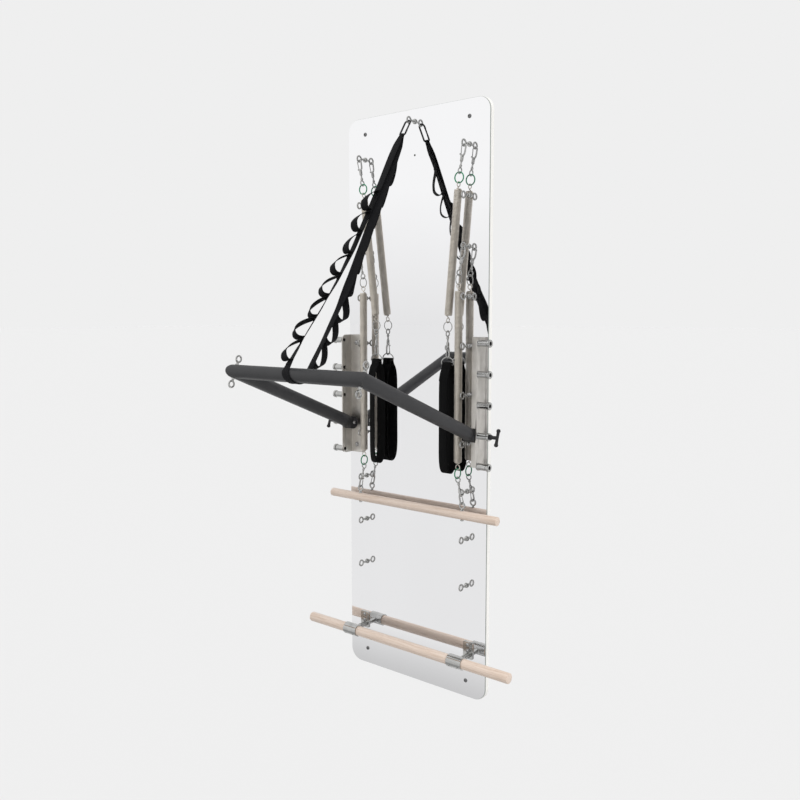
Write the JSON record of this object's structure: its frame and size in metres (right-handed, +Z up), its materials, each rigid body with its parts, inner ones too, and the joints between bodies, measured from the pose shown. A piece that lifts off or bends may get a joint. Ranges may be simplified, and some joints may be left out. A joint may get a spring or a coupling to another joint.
{
  "type": "pilates tower unit",
  "caption": "Wall-mounted mirrored spring board with a push-through bar on side brackets, arm springs with loop handles, a roll-down bar on long springs and a fixed wooden foot bar",
  "frame": {"origin": "middle of the flat back face that lies against the wall", "axes": "+X along the wall to the right as seen from the room, +Y into the wall, +Z up; the user stands at -Y"},
  "size_m": [0.888, 0.6214, 2],
  "materials": {
    "board": "cream laminated board with a pale edge",
    "mirror": "silvered glass mirror",
    "bracket_steel": "bright plated steel",
    "chrome": "bright plated wire and rod",
    "maple": "clear satin lacquer on pale hardwood",
    "charcoal_tube": "satin charcoal powder coat",
    "black_plastic": "fine moulded texture",
    "black_steel": "black satin coat",
    "webbing": "tightly woven black webbing",
    "green_ring": "green enamel"
  },
  "bodies": {
    "tower": {"backing_board": "board", "mirror_panel": "mirror", "top_eye": "chrome", "foot_bar": "maple", "carabiner": "black_steel", "safety_strap": "webbing", "bracket_left": "bracket_steel", "bracket_right": "bracket_steel", "foot_bar_holder_left": "bracket_steel", "foot_bar_holder_right": "bracket_steel", "wall_eye_10_left": "chrome", "wall_eye_10_right": "chrome", "wall_eye_1_left": "chrome", "wall_eye_1_right": "chrome", "wall_eye_2_left": "chrome", "wall_eye_2_right": "chrome", "wall_eye_3_left": "chrome", "wall_eye_3_right": "chrome", "wall_eye_4_left": "chrome", "wall_eye_4_right": "chrome", "wall_eye_8_left": "chrome", "wall_eye_8_right": "chrome", "wall_eye_9_left": "chrome", "wall_eye_9_right": "chrome"},
    "push_bar_frame": {"push_bar": "charcoal_tube", "push_bar_end_left": "black_plastic", "push_bar_end_right": "black_plastic", "push_bar_eye_left": "chrome", "push_bar_eye_right": "chrome"},
    "gate": {"carabiner_gate": "black_steel"},
    "pull_pin_left_body": {"pull_pin_left": "black_steel"},
    "arm_swing_left": {"arm_top_hook_left": "chrome", "arm_top_ring_left": "green_ring", "arm_spring_left": "chrome"},
    "arm_pull_left": {"arm_low_ring_left": "chrome", "arm_low_hook_left": "chrome"},
    "handle_swing_left": {"d_ring_left": "chrome", "handle_left": "webbing"},
    "pull_pin_right_body": {"pull_pin_right": "black_steel"},
    "arm_swing_right": {"arm_top_hook_right": "chrome", "arm_top_ring_right": "green_ring", "arm_spring_right": "chrome"},
    "arm_pull_right": {"arm_low_ring_right": "chrome", "arm_low_hook_right": "chrome"},
    "handle_swing_right": {"d_ring_right": "chrome", "handle_right": "webbing"},
    "roll_down_swing": {"roll_down_top_hook_left": "chrome", "roll_down_top_hook_right": "chrome", "roll_down_top_ring_left": "chrome", "roll_down_top_ring_right": "chrome", "roll_down_spring_left": "chrome", "roll_down_spring_right": "chrome"},
    "roll_down_pull": {"roll_down_low_ring_left": "green_ring", "roll_down_low_ring_right": "green_ring", "roll_down_low_hook_left": "chrome", "roll_down_low_hook_right": "chrome", "roll_down_bar": "maple", "roll_down_bar_eye_left": "chrome", "roll_down_bar_eye_right": "chrome"}
  },
  "joints": [
    {"name": "push_bar_lift", "type": "hinge", "parent": "tower", "child": "push_bar_frame", "pos_m": [0, -0.063, -0.083], "axis": [-1, 0, 0], "range_deg": [0, 45], "deforming": ["safety_strap"]},
    {"name": "carabiner_gate_open", "type": "hinge", "parent": "tower", "child": "gate", "pos_m": [0.011, -0.07795, 0.91733], "axis": [0, -0.8368, 0.5474], "range_deg": [0, 20], "stiffness_Nm_per_rad": 0.01, "springref_deg": -11.46},
    {"name": "pull_pin_slide_left", "type": "slide", "parent": "tower", "child": "pull_pin_left_body", "axis": [-1, 0, 0], "range_m": [0, 0.028]},
    {"name": "pull_pin_slide_right", "type": "slide", "parent": "tower", "child": "pull_pin_right_body", "axis": [1, 0, 0], "range_m": [0, 0.028]},
    {"name": "arm_spring_swing_left", "type": "hinge", "parent": "tower", "child": "arm_swing_left", "pos_m": [-0.225, -0.052, 0.8505], "axis": [-1, 0, 0], "range_deg": [0, 24]},
    {"name": "arm_spring_stretch_left", "type": "slide", "parent": "arm_swing_left", "child": "arm_pull_left", "axis": [0, 0, -1], "range_m": [0, 0.35], "stiffness_N_per_m": 200, "springref_m": -0.05, "deforming": ["arm_spring_left"]},
    {"name": "handle_swing_joint_left", "type": "hinge", "parent": "arm_pull_left", "child": "handle_swing_left", "pos_m": [-0.14738, -0.052, 0.16851], "axis": [-1, 0, 0], "range_deg": [0, 20]},
    {"name": "arm_spring_swing_right", "type": "hinge", "parent": "tower", "child": "arm_swing_right", "pos_m": [0.225, -0.052, 0.8505], "axis": [-1, 0, 0], "range_deg": [0, 24]},
    {"name": "arm_spring_stretch_right", "type": "slide", "parent": "arm_swing_right", "child": "arm_pull_right", "axis": [0, 0, -1], "range_m": [0, 0.35], "stiffness_N_per_m": 200, "springref_m": -0.05, "deforming": ["arm_spring_right"]},
    {"name": "handle_swing_joint_right", "type": "hinge", "parent": "arm_pull_right", "child": "handle_swing_right", "pos_m": [0.1649, -0.052, 0.16659], "axis": [-1, 0, 0], "range_deg": [0, 20]},
    {"name": "roll_down_swing_joint", "type": "hinge", "parent": "tower", "child": "roll_down_swing", "pos_m": [0, -0.052, 0.5257], "axis": [-1, 0, 0], "range_deg": [0, 45]},
    {"name": "roll_down_stretch", "type": "slide", "parent": "roll_down_swing", "child": "roll_down_pull", "axis": [0, 0, -1], "range_m": [0, 0.5], "stiffness_N_per_m": 300, "springref_m": -0.06, "deforming": ["roll_down_spring_left", "roll_down_spring_right"]}
  ],
  "couplings": [
    {"joint": "arm_spring_stretch_left", "follows": "arm_spring_swing_left", "m_per_rad": 0.83},
    {"joint": "arm_spring_stretch_right", "follows": "arm_spring_swing_right", "m_per_rad": 0.83},
    {"joint": "roll_down_stretch", "follows": "roll_down_swing_joint", "m_per_rad": 0.63}
  ]
}
